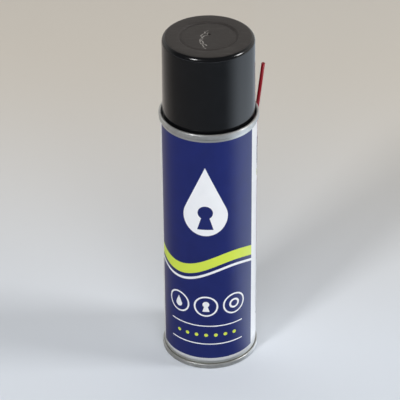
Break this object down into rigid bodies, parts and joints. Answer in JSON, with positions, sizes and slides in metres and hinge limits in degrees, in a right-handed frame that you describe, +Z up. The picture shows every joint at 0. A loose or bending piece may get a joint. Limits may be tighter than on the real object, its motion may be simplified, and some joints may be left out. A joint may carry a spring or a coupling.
{
  "type": "aerosol spray can",
  "caption": "Slim tinplate aerosol can with a black plug-in overcap, a sprung spray button and valve, and a red snorkel tube taped along its back.",
  "frame": {"origin": "on the can's axis, in the plane that its bottom seam stands on", "axes": "+Z up along the can's axis; the middle of the printed panel and the spray nozzle face -Y; +X is the viewer's right"},
  "size_m": [0.0562, 0.054, 0.2],
  "materials": {
    "tinplate": "bright tinplate",
    "label": "printed navy and white, satin",
    "seam_compound": "grey sealing compound",
    "valve_cup": "lacquered tinplate",
    "gasket": "dark rubber",
    "valve_plastic": "natural moulded plastic",
    "spring_wire": "drawn stainless wire",
    "dip_plastic": "extruded polyethylene",
    "button_plastic": "white moulded plastic",
    "insert_plastic": "off-white moulded plastic",
    "cap_plastic": "black moulded polypropylene",
    "snorkel_plastic": "red extruded plastic",
    "tape": "clear film"
  },
  "bodies": {
    "can": {"can_body": "tinplate", "printed_label": "label", "top_dome": "tinplate", "bottom_end": "tinplate", "top_seam_compound": "seam_compound", "bottom_seam_compound": "seam_compound", "mounting_cup": "valve_cup", "cup_gasket": "gasket", "valve_housing": "valve_plastic", "stem_gasket": "gasket", "valve_spring": "spring_wire", "dip_tube": "dip_plastic"},
    "stem": {"valve_stem": "valve_plastic"},
    "button": {"spray_button": "button_plastic", "nozzle_insert": "insert_plastic"},
    "cap": {"overcap": "cap_plastic"},
    "snorkel": {"snorkel": "snorkel_plastic", "snorkel_tape": "tape"}
  },
  "joints": [
    {"name": "cap_lift", "type": "slide", "parent": "can", "child": "cap", "axis": [0, 0, 1], "range_m": [0, 0.07]},
    {"name": "button_press", "type": "slide", "parent": "can", "child": "stem", "axis": [0, 0, -1], "range_m": [0, 0.0016], "stiffness_N_per_m": 3000, "springref_m": -0.003, "deforming": ["valve_spring"]},
    {"name": "button_turn", "type": "hinge", "parent": "stem", "child": "button", "pos_m": [0, 0, 0.17], "axis": [0, 0, 1], "continuous": true},
    {"name": "snorkel_pull", "type": "slide", "parent": "can", "child": "snorkel", "axis": [0.6382, 0.3044, 0.7071], "range_m": [0, 0.06]}
  ]
}
